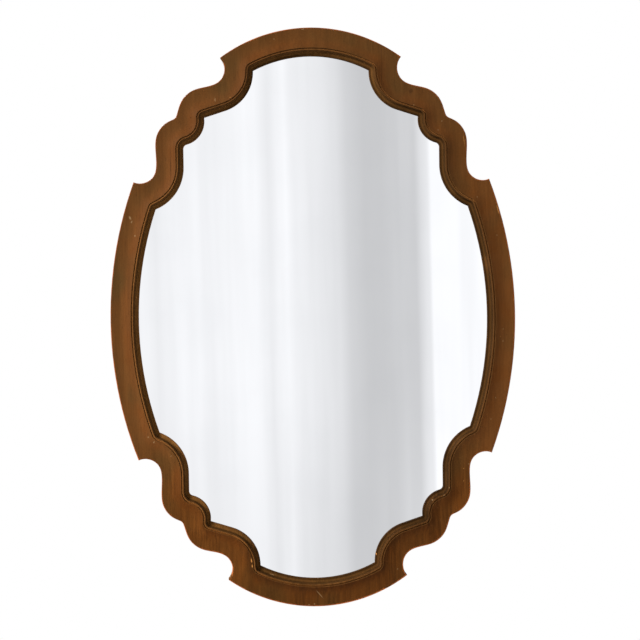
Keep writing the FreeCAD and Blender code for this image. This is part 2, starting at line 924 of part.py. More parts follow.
def add_screws(name, places, length, seat_height, slot_turn_step):
    # The seat height is that of the underside of the heads above the back of the frame.
    screws = []
    master = screw_shape(length)
    for number, place in enumerate(places):
        screw = master.copy()
        slot_turn = Rotation(Vector(0, 1, 0), number * slot_turn_step)
        screw.Placement = Placement(at(place, seat_height), slot_turn)
        screws.append(screw)
    return add_feature(name, Part.makeCompound(screws))


def add_all_screws():
    slot_turn_step = 37.0
    clip_seat = -size("clip_thickness")
    strap_seat = -2 * size("strap_thickness")
    clip_length = size("clip_screw_length")
    hanger_length = size("hanger_screw_length")
    return [
        add_screws("clip_screws", clip_screw_places(), clip_length, clip_seat, slot_turn_step),
        add_screws("hanger_screws", hanger_screw_places(), hanger_length, strap_seat, slot_turn_step),
    ]


# Hangers: a strap folded round the straight bar of a swinging ring

bar_depth = "-Sizes.bumper_height + Sizes.strap_thickness + Sizes.strap_play + Sizes.ring_wire / 2"
half_ring = "(Sizes.ring_inner_width + Sizes.ring_wire) / 2"


def add_part(kind, name, rules, rotation=None):
    part = document.addObject(kind, name)
    if rotation:
        part.Placement = Placement(Vector(), rotation)
    return bind(part, rules)


def hang(thing, side):
    # The hanger's own origin is in line with the ring's bar, on the wall.
    reach = side * hanger_reach()
    thing.Placement = Placement(Vector(reach, 0, 0), Rotation())
    height_rule = "-(Sizes.ring_corner + Sizes.ring_side + Sizes.ring_inner_width / 2)"
    return bind(thing, {"Placement.Base.z": height_rule})


def add_ring(name, side):
    flat = Rotation(Vector(1, 0, 0), 90)
    along_x = Rotation(Vector(0, 1, 0), 90)
    right_corner_turn = -90
    left_corner_turn = 180
    wire = "Sizes.ring_wire / 2"
    corner_place = "%s - Sizes.ring_corner" % half_ring
    members = [
        add_part("Part::Cylinder", name + "_bar", {
            "Radius": wire,
            "Height": "2 * (%s)" % corner_place,
            "Placement.Base.x": "-(%s)" % corner_place,
            "Placement.Base.y": bar_depth,
        }, along_x),
        add_part("Part::Torus", name + "_bow", {
            "Radius1": half_ring,
            "Radius2": wire,
            "Angle3": "180",
            "Placement.Base.y": bar_depth,
            "Placement.Base.z": "Sizes.ring_corner + Sizes.ring_side",
        }, flat),
    ]
    for hand, turn, sign in (("right", right_corner_turn, ""), ("left", left_corner_turn, "-")):
        members.append(add_part("Part::Torus", "%s_%s_corner" % (name, hand), {
            "Radius1": "Sizes.ring_corner",
            "Radius2": wire,
            "Angle3": "90",
            "Placement.Base.x": "%s(%s)" % (sign, corner_place),
            "Placement.Base.y": bar_depth,
            "Placement.Base.z": "Sizes.ring_corner",
        }, flat * Rotation(Vector(0, 0, 1), turn)))
        members.append(add_part("Part::Cylinder", "%s_%s_side" % (name, hand), {
            "Radius": wire,
            "Height": "Sizes.ring_side",
            "Placement.Base.x": "%s(%s)" % (sign, half_ring),
            "Placement.Base.y": bar_depth,
            "Placement.Base.z": "Sizes.ring_corner",
        }))
    ring = document.addObject("Part::MultiFuse", name)
    ring.Label = name
    ring.Shapes = members
    ring.Refine = True
    return hang(ring, side)


def add_strap(name, side):
    along_x = Rotation(Vector(0, 1, 0), 90)
    into_wall = Rotation(Vector(1, 0, 0), -90)
    back = "-Sizes.bumper_height"
    barrel = add_part("Part::Cylinder", name + "_barrel", {
        "Radius": "Sizes.ring_wire / 2 + Sizes.strap_play + Sizes.strap_thickness",
        "Height": "Sizes.strap_width",
        "Placement.Base.x": "-Sizes.strap_width / 2",
        "Placement.Base.y": bar_depth,
    }, along_x)
    leaf = add_part("Part::Box", name + "_leaf", {
        "Length": "Sizes.strap_width",
        "Width": "2 * Sizes.strap_thickness",
        "Height": "Sizes.strap_length - Sizes.strap_width / 2",
        "Placement.Base.x": "-Sizes.strap_width / 2",
        "Placement.Base.y": back,
        "Placement.Base.z": "Sizes.strap_width / 2 - Sizes.strap_length",
    })
    tail = add_part("Part::Cylinder", name + "_tail", {
        "Radius": "Sizes.strap_width / 2",
        "Height": "2 * Sizes.strap_thickness",
        "Placement.Base.y": back,
        "Placement.Base.z": "Sizes.strap_width / 2 - Sizes.strap_length",
    }, into_wall)
    body = document.addObject("Part::MultiFuse", name + "_blank")
    body.Shapes = [barrel, leaf, tail]
    cutters = [add_part("Part::Cylinder", name + "_bore", {
        "Radius": "Sizes.ring_wire / 2 + Sizes.strap_play",
        "Height": "Sizes.strap_width + 2 * Sizes.overrun",
        "Placement.Base.x": "-Sizes.strap_width / 2 - Sizes.overrun",
        "Placement.Base.y": bar_depth,
    }, along_x)]
    for number in (0, 1):
        cutters.append(add_part("Part::Cylinder", "%s_hole_%d" % (name, number + 1), {
            "Radius": "Sizes.screw_diameter / 2 + Sizes.screw_hole_play",
            "Height": "2 * Sizes.strap_thickness + 2 * Sizes.overrun",
            "Placement.Base.y": "%s - Sizes.overrun" % back,
            "Placement.Base.z": "-Sizes.strap_hole_first - %d * Sizes.strap_hole_pitch" % number,
        }, into_wall))
    cutter = document.addObject("Part::MultiFuse", name + "_cutter")
    cutter.Shapes = cutters
    strap = document.addObject("Part::Cut", name)
    strap.Label = name
    strap.Base = body
    strap.Tool = cutter
    strap.Refine = True
    return hang(strap, side)


def add_hangers():
    made = []
    for hand, side in (("left", -1), ("right", 1)):
        made.append(add_strap(hand + "_hanger_strap", side))
        made.append(add_ring(hand + "_hanger_ring", side))
    return made


# Wall bumpers: rubber buttons that stand the frame off the wall

def add_bumper(name, place):
    body = add_body(name)
    sketch = add_sketch(body, name + "_outline", "XZ_Plane")
    radius = size("bumper_diameter") / 2
    sketch.addGeometry(Part.Circle(Vector(), Vector(0, 0, 1), radius), False)
    constrain(sketch, "Coincident", 0, 3, -1, 1)
    constrain(sketch, "Radius", 0, radius, rule="Sizes.bumper_diameter / 2")
    pad = body.newObject("PartDesign::Pad", name + "_pad")
    pad.Profile = sketch
    bind(pad, {"Length": "Sizes.bumper_height"})
    document.recompute()
    rims = [
        "Edge%d" % number
        for number, edge in enumerate(pad.Shape.Edges, start=1)
        if edge.isClosed() and edge.CenterOfMass.y > -size("bumper_height") / 2
    ]
    round_edges(body, pad, rims, "Sizes.bumper_round")
    body.Placement = Placement(Vector(place[0], 0, place[1]), Rotation())
    return bind(body, {"Placement.Base.z": "%s - Sizes.hang_height" % place[1]})


def add_bumpers():
    return [add_bumper(name, place) for name, place in bumper_places().items()]


def check_document():
    for thing in document.Objects:
        if "Invalid" in thing.State or "Error" in thing.State:
            raise RuntimeError("%s failed: %s" % (thing.Name, thing.State))


def write_pieces(pieces):
    os.makedirs("parts", exist_ok=True)
    for piece in pieces:
        if piece.Shape.isNull() or not piece.Shape.isValid() or not piece.Shape.Solids:
            raise RuntimeError("%s has no sound solid" % piece.Label)
    for piece in pieces:
        piece.Shape.exportStep("parts/%s.step" % piece.Label)
        print(piece.Label, len(piece.Shape.Solids), round(piece.Shape.Volume, 1))


def main():
    fill_sheet()
    pieces = add_boards()
    pieces += add_dowels()
    pieces += [add_glass(), add_backing()]
    pieces += add_glass_blocks()
    pieces += add_clips()
    pieces += add_all_screws()
    pieces += add_hangers()
    pieces += add_bumpers()
    document.recompute()
    check_document()
    write_pieces(pieces)


main()
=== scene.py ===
import math

import bpy
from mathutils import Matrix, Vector


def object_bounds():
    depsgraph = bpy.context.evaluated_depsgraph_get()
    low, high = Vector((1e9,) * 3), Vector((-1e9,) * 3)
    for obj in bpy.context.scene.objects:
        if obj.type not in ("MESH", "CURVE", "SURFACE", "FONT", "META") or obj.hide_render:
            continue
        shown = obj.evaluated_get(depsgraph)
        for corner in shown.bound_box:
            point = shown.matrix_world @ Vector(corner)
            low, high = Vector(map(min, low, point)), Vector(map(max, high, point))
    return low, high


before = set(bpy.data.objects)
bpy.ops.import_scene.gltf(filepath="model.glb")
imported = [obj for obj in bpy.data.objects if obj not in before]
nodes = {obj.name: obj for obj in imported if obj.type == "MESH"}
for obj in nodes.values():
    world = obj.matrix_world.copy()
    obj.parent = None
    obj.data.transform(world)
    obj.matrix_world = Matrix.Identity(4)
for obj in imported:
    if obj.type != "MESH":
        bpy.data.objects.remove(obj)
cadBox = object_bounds()
bpy.context.scene.view_settings.view_transform = "Standard"
print("frame loaded:", len(nodes), "pieces")


# Camera and light

cameraView = {
    "place": (-0.16611, -2.64754, -0.07547),
    "turnDegrees": (87.8972, 0.8009, -3.8541),
    "lensMm": 84.375,
    "clipEnd": 50.0,
}


def addCamera(view):
    bpy.ops.object.camera_add(location=view["place"])
    camera = bpy.context.object
    camera.name = "photoCamera"
    camera.rotation_euler = [math.radians(angle) for angle in view["turnDegrees"]]
    camera.data.lens = view["lensMm"]
    camera.data.clip_end = view["clipEnd"]
    bpy.context.scene.camera = camera


addCamera(cameraView)

keyLight = {
    "direction": (-0.78, -0.46, 0.43),
    "distance": 3.0,
    "spreadDegrees": 14,
    "strength": 5.2,
}

softLamps = {
    "fillLamp": {"place": (2.3, -2.5, 0.2), "aim": (0.0, 0.0, -0.17), "size": 2.0, "power": 5.0},
    "backLamp": {"place": (-1.5, 2.6, 1.4), "aim": (0.0, 0.0, -0.17), "size": 1.6, "power": 110.0},
}


def aimAt(lamp, direction):
    lamp.rotation_euler = Vector(direction).to_track_quat("-Z", "Y").to_euler()


def addLamps():
    towards = Vector(keyLight["direction"])
    bpy.ops.object.light_add(type="SUN", location=towards * keyLight["distance"])
    key = bpy.context.object
    key.name = "keyLight"
    key.data.angle = math.radians(keyLight["spreadDegrees"])
    key.data.energy = keyLight["strength"]
    aimAt(key, -towards)
    for name, look in softLamps.items():
        bpy.ops.object.light_add(type="AREA", location=look["place"])
        lamp = bpy.context.object
        lamp.name = name
        lamp.data.shape = "DISK"
        lamp.data.size = look["size"]
        lamp.data.energy = look["power"]
        aimAt(lamp, Vector(look["aim"]) - Vector(look["place"]))


addLamps()


# Small helpers for node trees

def newMaterial(name):
    material = bpy.data.materials.new(name)
    material.use_nodes = True
    material.node_tree.nodes.clear()
    return material, material.node_tree


def put(tree, kind, **settings):
    node = tree.nodes.new(kind)
    for name, value in settings.items():
        setattr(node, name, value)
    return node


def feed(tree, target, value):
    # A value is another node's output or a plain number, colour or vector
    if isinstance(value, bpy.types.NodeSocket):
        tree.links.new(value, target)
    else:
        target.default_value = value


def calc(tree, operation, first, second=None, clamp=False):
    node = put(tree, "ShaderNodeMath", operation=operation, use_clamp=clamp)
    feed(tree, node.inputs[0], first)
    if second is not None:
        feed(tree, node.inputs[1], second)
    return node.outputs[0]


def chain(tree, operation, values):
    total = values[0]
    for value in values[1:]:
        total = calc(tree, operation, total, value)
    return total


def times(tree, *values):
    return chain(tree, "MULTIPLY", values)


def plus(tree, *values):
    return chain(tree, "ADD", values)


def largest(tree, *values):
    return chain(tree, "MAXIMUM", values)


def above(tree, value, limit):
    return calc(tree, "GREATER_THAN", value, limit)


def below(tree, value, limit):
    return calc(tree, "LESS_THAN", value, limit)


def without(tree, mask):
    return calc(tree, "SUBTRACT", 1.0, mask)


def vectorCalc(tree, operation, first, second=None, scale=None):
    node = put(tree, "ShaderNodeVectorMath", operation=operation)
    feed(tree, node.inputs[0], first)
    if second is not None:
        feed(tree, node.inputs[1], second)
    if scale is not None:
        feed(tree, node.inputs["Scale"], scale)
    isNumber = operation in ("LENGTH", "DISTANCE", "DOT_PRODUCT")
    return node.outputs["Value" if isNumber else "Vector"]


def scaled(tree, vector, scale):
    return vectorCalc(tree, "SCALE", vector, scale=scale)


def ease(tree, value, low, high, toLow=0.0, toHigh=1.0):
    # Runs smoothly from toLow to toHigh while the value goes from low to high
    node = put(tree, "ShaderNodeMapRange", interpolation_type="SMOOTHSTEP")
    for socket, number in zip(node.inputs[:5], (value, low, high, toLow, toHigh)):
        feed(tree, socket, number)
    return node.outputs[0]


def blendColours(tree, factor, first, second, kind="MIX"):
    node = put(tree, "ShaderNodeMix", data_type="RGBA", blend_type=kind)
    feed(tree, node.inputs["Factor"], factor)
    feed(tree, node.inputs["A"], first)
    feed(tree, node.inputs["B"], second)
    return node.outputs["Result"]


def place(tree):
    return put(tree, "ShaderNodeTexCoord").outputs["Object"]


def stretched(tree, vector, scale, shift=(0.0, 0.0, 0.0)):
    node = put(tree, "ShaderNodeMapping")
    feed(tree, node.inputs["Vector"], vector)
    node.inputs["Scale"].default_value = scale
    node.inputs["Location"].default_value = shift
    return node.outputs["Vector"]


def noise(tree, vector, scale=1.0, detail=3.0, roughness=0.5, distortion=0.0):
    node = put(tree, "ShaderNodeTexNoise")
    settings = {"Vector": vector, "Scale": scale, "Detail": detail, "Roughness": roughness,
                "Distortion": distortion}
    for name, value in settings.items():
        feed(tree, node.inputs[name], value)
    return node.outputs["Fac"]


def split(tree, vector):
    node = put(tree, "ShaderNodeSeparateXYZ")
    feed(tree, node.inputs[0], vector)
    return node.outputs


def newGroup(name, inputs, outputs):
    # Each input is a number with its default, and each output is a number too
    group = bpy.data.node_groups.new(name, "ShaderNodeTree")
    for socketName, default in inputs.items():
        socket = group.interface.new_socket(
            socketName, in_out="INPUT", socket_type="NodeSocketFloat")
        socket.default_value = default
    for socketName in outputs:
        group.interface.new_socket(socketName, in_out="OUTPUT", socket_type="NodeSocketFloat")
    given = group.nodes.new("NodeGroupInput").outputs
    result = group.nodes.new("NodeGroupOutput").inputs
    return group, given, result


def useGroup(tree, group, **values):
    node = put(tree, "ShaderNodeGroup", node_tree=group)
    for name, value in values.items():
        feed(tree, node.inputs[name], value)
    return node.outputs


def showShader(tree, shader, kind="ShaderNodeOutputMaterial"):
    tree.links.new(shader.outputs[0], put(tree, kind).inputs["Surface"])


def surface(tree, constants, **links):
    # Constants are set on the shader's own sockets, and links feed the ones that vary
    shader = put(tree, "ShaderNodeBsdfPrincipled")
    for name, value in constants.items():
        shader.inputs[name].default_value = value
    for name, value in links.items():
        feed(tree, shader.inputs[name.replace("_", " ")], value)
    showShader(tree, shader)


def relief(tree, height, depth):
    node = put(tree, "ShaderNodeBump")
    node.inputs["Strength"].default_value = 1.0
    node.inputs["Distance"].default_value = depth
    feed(tree, node.inputs["Height"], height)
    return node.outputs["Normal"]


# Floor, backdrop and world

white = (1, 1, 1, 1)
ambient = 0.16  # how strongly the white room lights the object

floorLook = {
    "drop": 0.50,
    "radius": 1.7,
    "corners": 96,
    "paint": (0.80, 0.80, 0.80, 1),
    "fade": (0.45, 1.35),  # from the middle, where the floor turns into the white of the room
}

# Ranges here and below read: from, to, and then the values at the two ends, or else 0 and 1
curtainLook = {
    "distance": 4.4,
    "low": -2.6,
    "high": 1.3,
    "foldCount": 84,
    "foldPull": 0.988,
    "foldLean": 0.012,
    "tint": (0.968, 0.976, 1.0),
    "broadFold": {"scale": 3.2, "detail": 1.0, "roughness": 0.4, "share": 0.6},
    "fineFold": {"scale": 14.0, "detail": 2.0, "roughness": 0.5, "share": 0.4},
    "foldStretch": 0.05,
    "foldShadeTones": (0.35, 0.60, 0.955, 1.02),
    "footTones": (0.42, 0.60, 0.92, 1.06),
    "footHeights": (0.1, -0.75),
    "lowHem": (-1.0, -1.55),
    "highHem": (1.62, 1.93),
    # Brightness round the room: (metres to the right of the middle, tone)
    "tones": [
        (-0.66, 0.94), (-0.50, 0.99), (-0.455, 0.93), (-0.34, 0.99), (-0.25, 1.00),
        (-0.20, 0.95), (-0.12, 1.00), (-0.03, 1.03), (0.02, 1.02), (0.08, 0.93),
        (0.16, 1.04), (0.205, 0.94), (0.27, 0.90), (0.34, 0.86), (0.40, 0.80),
        (0.45, 0.69), (0.53, 0.62), (0.61, 0.62), (0.70, 0.69), (0.765, 0.69),
        (0.79, 0.80), (0.825, 0.88), (0.84, 1.04),
    ],
}


def seenRays(tree):
    # 1 for rays that come from the camera, a mirror or clear glass
    path = put(tree, "ShaderNodeLightPath").outputs
    return largest(tree, path["Is Camera Ray"], path["Is Glossy Ray"], path["Is Transmission Ray"])


def seenStrength(tree):
    return ease(tree, seenRays(tree), 0.0, 1.0, ambient, 1.0)


def buildWorld():
    world = bpy.data.worlds.new("paleRoom")
    bpy.context.scene.world = world
    world.use_nodes = True
    tree = world.node_tree
    tree.nodes.clear()
    background = put(tree, "ShaderNodeBackground")
    feed(tree, background.inputs["Color"], white)
    feed(tree, background.inputs["Strength"], seenStrength(tree))
    showShader(tree, background, "ShaderNodeOutputWorld")


def buildFloor():
    # A round pale floor with the mirror's shadow
    bpy.ops.mesh.primitive_circle_add(
        vertices=floorLook["corners"], radius=floorLook["radius"], fill_type="NGON",
        location=(0, 0, cadBox[0][2] - floorLook["drop"]))
    floor = bpy.context.object
    floor.name = "paleFloor"
    material, tree = newMaterial("paleFloorPaint")
    diffuse = put(tree, "ShaderNodeBsdfDiffuse")
    diffuse.inputs["Color"].default_value = floorLook["paint"]
    glow = put(tree, "ShaderNodeEmission")
    feed(tree, glow.inputs["Color"], white)
    far = ease(tree, vectorCalc(tree, "LENGTH", place(tree)), *floorLook["fade"])
    mix = put(tree, "ShaderNodeMixShader")
    feed(tree, mix.inputs[0], times(tree, far, seenRays(tree)))
    tree.links.new(diffuse.outputs[0], mix.inputs[1])
    tree.links.new(glow.outputs[0], mix.inputs[2])
    showShader(tree, mix)
    floor.data.materials.append(material)


def curtainMesh():
    look = curtainLook
    bpy.ops.mesh.primitive_cylinder_add(
        vertices=look["foldCount"] * 4, radius=look["distance"], depth=look["high"] - look["low"],
        end_fill_type="NOTHING", location=(0, 0, (look["high"] + look["low"]) / 2))
    curtain = bpy.context.object
    curtain.name = "roomCurtain"
    for edge in curtain.data.edges:
        edge.select = False
    for vertex in curtain.data.vertices:
        vertex.select = (vertex.index // 2) % 4 < 2  # every second pair of upright edges
    bpy.ops.object.mode_set(mode="EDIT")
    bpy.ops.mesh.select_mode(type="VERT")
    bpy.ops.transform.resize(
        value=(look["foldPull"], look["foldPull"], 1.0), center_override=(0, 0, 0))
    bpy.ops.object.mode_set(mode="OBJECT")
    bpy.ops.object.shade_smooth()
    return curtain


def toneRamp(tree, value, tones, tint):
    low, high = tones[0][0], tones[-1][0]
    ramp = put(tree, "ShaderNodeValToRGB")
    share = calc(tree, "DIVIDE", calc(tree, "SUBTRACT", value, low), high - low)
    feed(tree, ramp.inputs[0], share)
    stops = ramp.color_ramp.elements
    while len(stops) < len(tones):
        stops.new(1.0)
    for stop, (along, tone) in zip(stops, tones):
        stop.position = (along - low) / (high - low)
        stop.color = [tone * part for part in tint] + [1]
    return ramp.outputs["Color"]


def buildCurtain():
    # A pale cloth hung round the room, glowing: white to the camera, softly folded in the mirror,
    # where its fold shading and darker foot are painted shade
    look = curtainLook
    curtain = curtainMesh()
    material, tree = newMaterial("roomCurtainCloth")
    where = split(tree, place(tree))
    turn = calc(tree, "ARCTAN2", where["X"], times(tree, where["Y"], -1.0))
    around = times(tree, turn, look["distance"])
    around = plus(tree, around, times(tree, where["Z"], look["foldLean"]))
    stripe = put(tree, "ShaderNodeCombineXYZ")
    feed(tree, stripe.inputs["X"], around)
    feed(tree, stripe.inputs["Z"], times(tree, where["Z"], look["foldStretch"]))
    layers = []
    for fold in (look["broadFold"], look["fineFold"]):
        layer = noise(tree, stripe.outputs[0], fold["scale"], fold["detail"], fold["roughness"])
        layers.append(times(tree, layer, fold["share"]))
    # Painted shade of the folds
    foldShade = ease(tree, plus(tree, *layers), *look["foldShadeTones"])
    footTone = ease(tree, around, *look["footTones"])
    # Painted shade towards the curtain's foot
    foot = ease(tree, where["Z"], *look["footHeights"], 1.0, footTone)
    tones = toneRamp(tree, around, look["tones"], look["tint"])
    cloth = scaled(tree, tones, times(tree, foldShade, foot))
    # Both hems fade to white, so no edge shows in the mirror from other sides
    hems = largest(tree, ease(tree, where["Z"], *look["lowHem"]),
                   ease(tree, where["Z"], *look["highHem"]))
    isDirect = put(tree, "ShaderNodeLightPath").outputs["Is Camera Ray"]
    plain = largest(tree, hems, isDirect)
    glow = put(tree, "ShaderNodeEmission")
    feed(tree, glow.inputs["Color"], blendColours(tree, plain, cloth, white))
    feed(tree, glow.inputs["Strength"], seenStrength(tree))
    showShader(tree, glow)
    curtain.data.materials.append(material)
    curtain.visible_shadow = False  # the key light stands behind it


bpy.ops.object.select_all(action="DESELECT")
buildWorld()
buildFloor()
buildCurtain()
print("room ready")


# Shared surface effects

grainLook = {
    "sway": (4.0, 4.0, 2.2),
    "swayReach": 0.018,
    "fibre": (620.0, 620.0, 11.0),
    "streaks": (310.0, 310.0, 20.0),
    "figure": (58.0, 40.0, 2.6),
    "pores": (1500.0, 1500.0, 75.0),
    "poreShow": (0.66, 0.74),
    "fibreHeight": 0.5,
}


def makeGrain():
    # Upright wood grain: fine fibres, broad figure and short open pores
    group, given, result = newGroup(
        "uprightGrain", {"Fibre Scale": 1.0, "Figure Scale": 1.0},
        ("Fibre", "Streaks", "Figure", "Pores", "Height"))
    here = place(group)
    sway = noise(group, stretched(group, here, grainLook["sway"]), detail=2.0)
    bend = put(group, "ShaderNodeCombineXYZ")
    feed(group, bend.inputs["X"], times(group, sway, grainLook["swayReach"]))
    bent = vectorCalc(group, "ADD", here, bend.outputs[0])
    fibreSpace = scaled(group, stretched(group, bent, grainLook["fibre"]), given["Fibre Scale"])
    fibre = noise(group, fibreSpace, detail=4.0, roughness=0.62)
    streaks = noise(group, stretched(group, bent, grainLook["streaks"]), detail=2.0)
    figureSpace = scaled(group, stretched(group, bent, grainLook["figure"]), given["Figure Scale"])
    figure = noise(group, figureSpace, detail=3.0, roughness=0.55, distortion=0.4)
    pores = noise(group, stretched(group, bent, grainLook["pores"]), detail=1.0)
    pores = ease(group, pores, *grainLook["poreShow"])
    height = calc(group, "SUBTRACT", times(group, fibre, grainLook["fibreHeight"]), pores)
    for name, value in (("Fibre", fibre), ("Streaks", streaks), ("Figure", figure),
                        ("Pores", pores), ("Height", height)):
        group.links.new(value, result[name])
    return group


def makeDust():
    # Dust and handling: soft clouds and small specks
    speckShow = (0.16, 0.08)
    group, given, result = newGroup(
        "dustAndHandling", {"Cloud Scale": 22.0, "Speck Scale": 900.0}, ("Clouds", "Specks"))
    here = place(group)
    group.links.new(noise(group, here, given["Cloud Scale"], detail=4.0), result["Clouds"])
    specks = put(group, "ShaderNodeTexVoronoi")
    feed(group, specks.inputs["Vector"], here)
    feed(group, specks.inputs["Scale"], given["Speck Scale"])
    group.links.new(ease(group, specks.outputs["Distance"], *speckShow), result["Specks"])
    return group


def makeScratches():
    # Fine scratches in two directions, as on handled sheet metal
    directions = ((2600.0, 300.0, 60.0), (90.0, 300.0, 2100.0))
    depthRange = (0.40, 0.62)
    group, given, result = newGroup("fineScratches", {"Scale": 1.0}, ("Lines", "Height"))
    here = place(group)
    lines = []
    for stretch in directions:
        space = scaled(group, stretched(group, here, stretch), given["Scale"])
        lines.append(noise(group, space, detail=2.0, roughness=0.6))
    both = times(group, plus(group, *lines), 1 / len(lines))
    group.links.new(both, result["Lines"])
    group.links.new(ease(group, both, *depthRange), result["Height"])
    return group


grainGroup = makeGrain()
dustGroup = makeDust()
scratchGroup = makeScratches()


# The frame's moulding: depths (y) of its parts in metres, and how far a surface leans, as the
# share of its normal that points straight out of the front

moulding = {
    "middleHeight": -0.17,
    "landDepth": -0.02437,
    "landReach": 0.0022,
    "arrisDepth": -0.02317,
    "arrisReach": 0.0003,
    "arrisLean": 0.75,
    "beadDepth": -0.0275,
    "beadReach": 0.0009,
    "beadLean": 0.35,
    "beadTopLean": 0.962,
    "quirkDepth": -0.0265,
    "quirkReach": 0.0004,
    "quirkLean": 0.99,
    "rimDepth": -0.02895,
    "lipDepth": -0.0200,
    "lipReach": (-0.0023, -0.0009),
    "lipLean": 0.985,
    "sightReach": 0.0002,
    "steepLean": 0.925,
    "frontLean": -0.2,
    "shadowStart": (0.999, 0.985),
    "shadowEnd": (0.80, 0.93),
    "shadowReach": 0.0001,
    "levelGap": 0.00005,
    "backLean": (0.6, 0.8),
}


def makeMouldingMasks():
    # Where on the moulding a point lies, told from its depth and from how its surface leans
    names = ("Recess", "Lip", "Sight Edge", "Bead", "Quirk", "Rim", "Arris", "Shadow Line",
             "Land", "Back")
    group, given, result = newGroup("mouldingPlaces", {"Edge Width": 0.93}, names)
    look = moulding
    where = split(group, place(group))
    depth = where["Y"]
    normal = split(group, put(group, "ShaderNodeNewGeometry").outputs["Normal"])
    front = times(group, normal["Y"], -1.0)
    rise = calc(group, "SUBTRACT", where["Z"], look["middleHeight"])
    outward = plus(group, times(group, normal["X"], where["X"]), times(group, normal["Z"], rise))
    facesOut = above(group, outward, 0.0)
    isFront = above(group, front, look["frontLean"])
    masks = {}

    # Behind the land's level: the sight lip and the foot of the cove
    deep = above(group, depth, look["landDepth"] + look["levelGap"])
    inOrFlat = largest(group, without(group, facesOut), above(group, front, look["lipLean"]))
    lip = times(group, deep, inOrFlat, isFront)
    nearLip, pastLip = (look["lipDepth"] + reach for reach in look["lipReach"])
    masks["Lip"] = times(group, lip, ease(group, depth, nearLip, pastLip))
    sightStart = look["lipDepth"] - look["sightReach"]
    masks["Sight Edge"] = times(group, lip, ease(group, depth, sightStart, look["lipDepth"]))

    # In front of it: all that leans more than the scoop does, and the top of the bead
    proud = without(group, deep)
    leans = below(group, front, look["steepLean"])
    beadTop = times(group, above(group, front, look["beadTopLean"]),
                    below(group, depth, look["beadDepth"]))
    steep = times(group, proud, largest(group, leans, beadTop))
    masks["Recess"] = largest(group, lip, steep)
    onFloor = times(group, above(group, front, look["quirkLean"]),
                    below(group, depth, look["quirkDepth"] + look["quirkReach"]))
    outFlank = times(group, leans, facesOut)
    masks["Quirk"] = times(group, largest(group, onFloor, outFlank), proud)
    onRim = ease(group, depth, look["landDepth"], look["rimDepth"])
    masks["Rim"] = times(group, onRim, without(group, steep), proud)
    onBead = ease(group, depth, look["beadDepth"] + look["beadReach"], look["beadDepth"])
    masks["Bead"] = times(group, onBead, steep, above(group, front, look["beadLean"]))

    # The outer edge: its rounded arris, the dark line beside it, and the land
    onArris = times(group, below(group, depth, look["arrisDepth"] + look["arrisReach"]),
                    times(group, deep, facesOut))
    arrisLean = ease(group, front, given["Edge Width"], look["arrisLean"])
    masks["Arris"] = times(group, onArris, arrisLean)
    shadow = times(group, ease(group, front, *look["shadowStart"]),
                   ease(group, front, *look["shadowEnd"]))
    nearLand = above(group, depth, look["landDepth"] - look["shadowReach"])
    masks["Shadow Line"] = times(group, shadow, times(group, nearLand, facesOut))
    landStart = look["landDepth"] - look["landReach"]
    masks["Land"] = times(group, ease(group, depth, landStart, look["landDepth"]), isFront)
    masks["Back"] = ease(group, normal["Y"], *look["backLean"])
    for name, mask in masks.items():
        group.links.new(mask, result[name])
    return group


# Small marks on the front of the frame: (x, z, half width, half height, turn in degrees)

paleScuffs = [
    (-0.3186, 0.0105, 0.0022, 0.0040, -20), (-0.3105, -0.0208, 0.0014, 0.0020, 0),
    (-0.3160, 0.0035, 0.0012, 0.0030, 30), (-0.0133, 0.3351, 0.0030, 0.0010, -5),
    (-0.0641, 0.3180, 0.0013, 0.0013, 0), (-0.1681, 0.2141, 0.0009, 0.0048, -2),
    (0.2286, 0.1739, 0.0013, 0.0016, 0), (0.2214, 0.1582, 0.0012, 0.0012, 0),
    (0.1786, 0.2022, 0.0009, 0.0011, 0), (0.2893, 0.0402, 0.0011, 0.0011, 0),
    (0.3242, -0.0271, 0.0011, 0.0013, 0), (-0.2937, -0.3713, 0.0016, 0.0013, -30),
    (-0.2841, -0.3803, 0.0013, 0.0022, 25), (-0.2550, -0.4055, 0.0009, 0.0017, 30),
    (-0.0809, -0.6197, 0.0050, 0.0009, 20), (0.0022, -0.6565, 0.0007, 0.0125, -40),
    (-0.0173, -0.6748, 0.0017, 0.0011, 0), (-0.0075, -0.6733, 0.0014, 0.0012, 0),
    (0.3189, -0.3146, 0.0010, 0.0015, 0), (0.3103, -0.3524, 0.0012, 0.0010, 0),
    (0.2701, -0.4315, 0.0013, 0.0011, 0), (0.2340, -0.4725, 0.0010, 0.0012, 0),
    (0.2245, -0.4860, 0.0009, 0.0026, 15), (0.2043, -0.4940, 0.0013, 0.0009, 0),
    (0.1407, -0.6152, 0.0013, 0.0010, 0), (0.3333, -0.1932, 0.0009, 0.0017, 0),
    (0.3331, -0.2145, 0.0009, 0.0013, 0),
]

orangeChips = [
    (-0.1176, -0.5925, 0.0016, 0.0072, -6), (-0.1163, -0.6025, 0.0015, 0.0052, -4),
    (0.1038, -0.5886, 0.0016, 0.0030, -15), (-0.1421, 0.2173, 0.0013, 0.0015, 0),
    (0.2606, -0.4393, 0.0012, 0.0014, 0), (0.2603, -0.4616, 0.0010, 0.0018, 0),
    (0.2672, 0.1400, 0.0006, 0.0150, -8), (0.3258, 0.0187, 0.0009, 0.0150, -13),
    (0.3283, -0.2060, 0.0008, 0.0012, 0),
]

darkDents = [
    (0.3115, -0.1158, 0.0016, 0.0013, 10), (0.3318, -0.1912, 0.0012, 0.0020, 0),
    (0.3400, -0.2035, 0.0012, 0.0016, 0), (0.1745, 0.2266, 0.0040, 0.0052, 20),
    (0.0105, -0.6480, 0.0010, 0.0030, 0), (-0.0610, -0.6330, 0.0011, 0.0022, 10),
    (-0.2105, 0.1830, 0.0012, 0.0016, 0), (-0.3210, -0.2480, 0.0009, 0.0016, 0),
]

markEdges = {"ragged": 950.0, "lumpy": 260.0, "raggedness": 0.8, "rim": 1.15}


